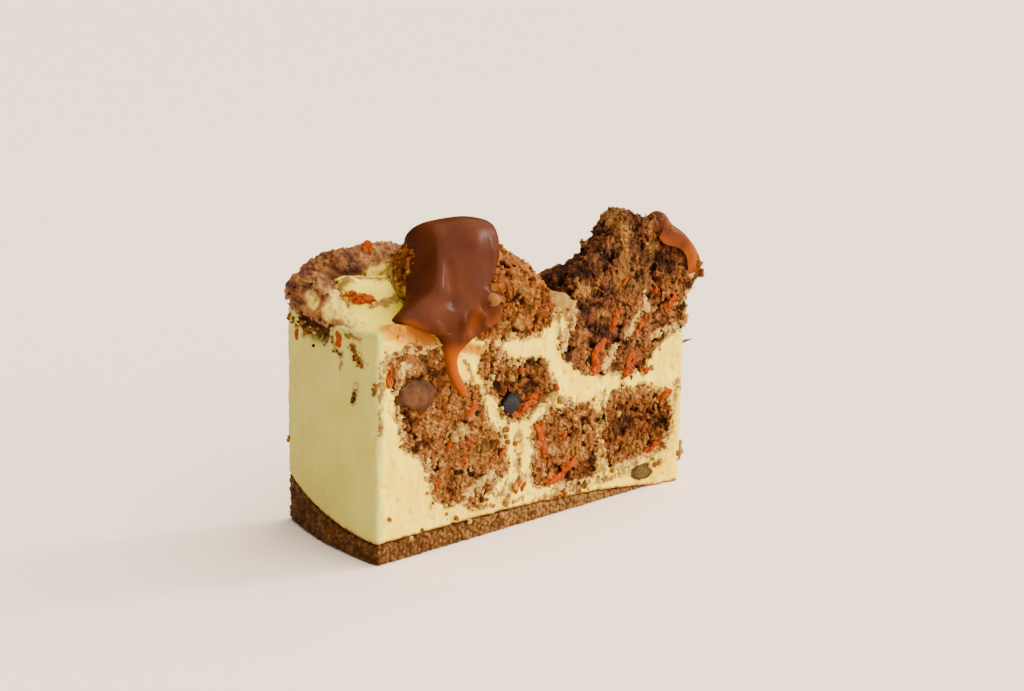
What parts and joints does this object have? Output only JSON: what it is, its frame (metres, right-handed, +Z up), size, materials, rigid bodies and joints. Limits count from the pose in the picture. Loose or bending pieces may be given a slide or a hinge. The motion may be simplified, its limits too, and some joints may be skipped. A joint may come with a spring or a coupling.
{
  "type": "cake slice",
  "caption": "Cut slice of carrot cake cheesecake on a thin biscuit base, with lumps of carrot cake and poured caramel on top.",
  "frame": {"origin": "centre of the slice's bounding box, on the surface it stands on", "axes": "+X from the rim to the tip, -Y towards the near cut face, +Z up"},
  "size_m": [0.1244, 0.0482, 0.083],
  "materials": {
    "biscuit": "matte",
    "cheesecake": "satin",
    "carrot_cake": "matte",
    "browned_cake": "matte",
    "caramel": "gloss",
    "nut": "satin",
    "dried_fruit": "satin"
  },
  "bodies": {
    "root": {"biscuit_base": "biscuit", "cheesecake_filling": "cheesecake", "sponge_front": "carrot_cake", "sponge_middle": "carrot_cake", "sponge_lower": "carrot_cake", "sponge_tip": "carrot_cake", "crown_tip": "browned_cake", "crown_middle": "browned_cake", "crown_rim": "browned_cake", "crown_far": "browned_cake", "caramel_pour": "caramel", "caramel_glaze": "caramel", "pecan_piece": "nut", "walnut_piece": "nut", "raisin": "dried_fruit"}
  },
  "joints": []
}
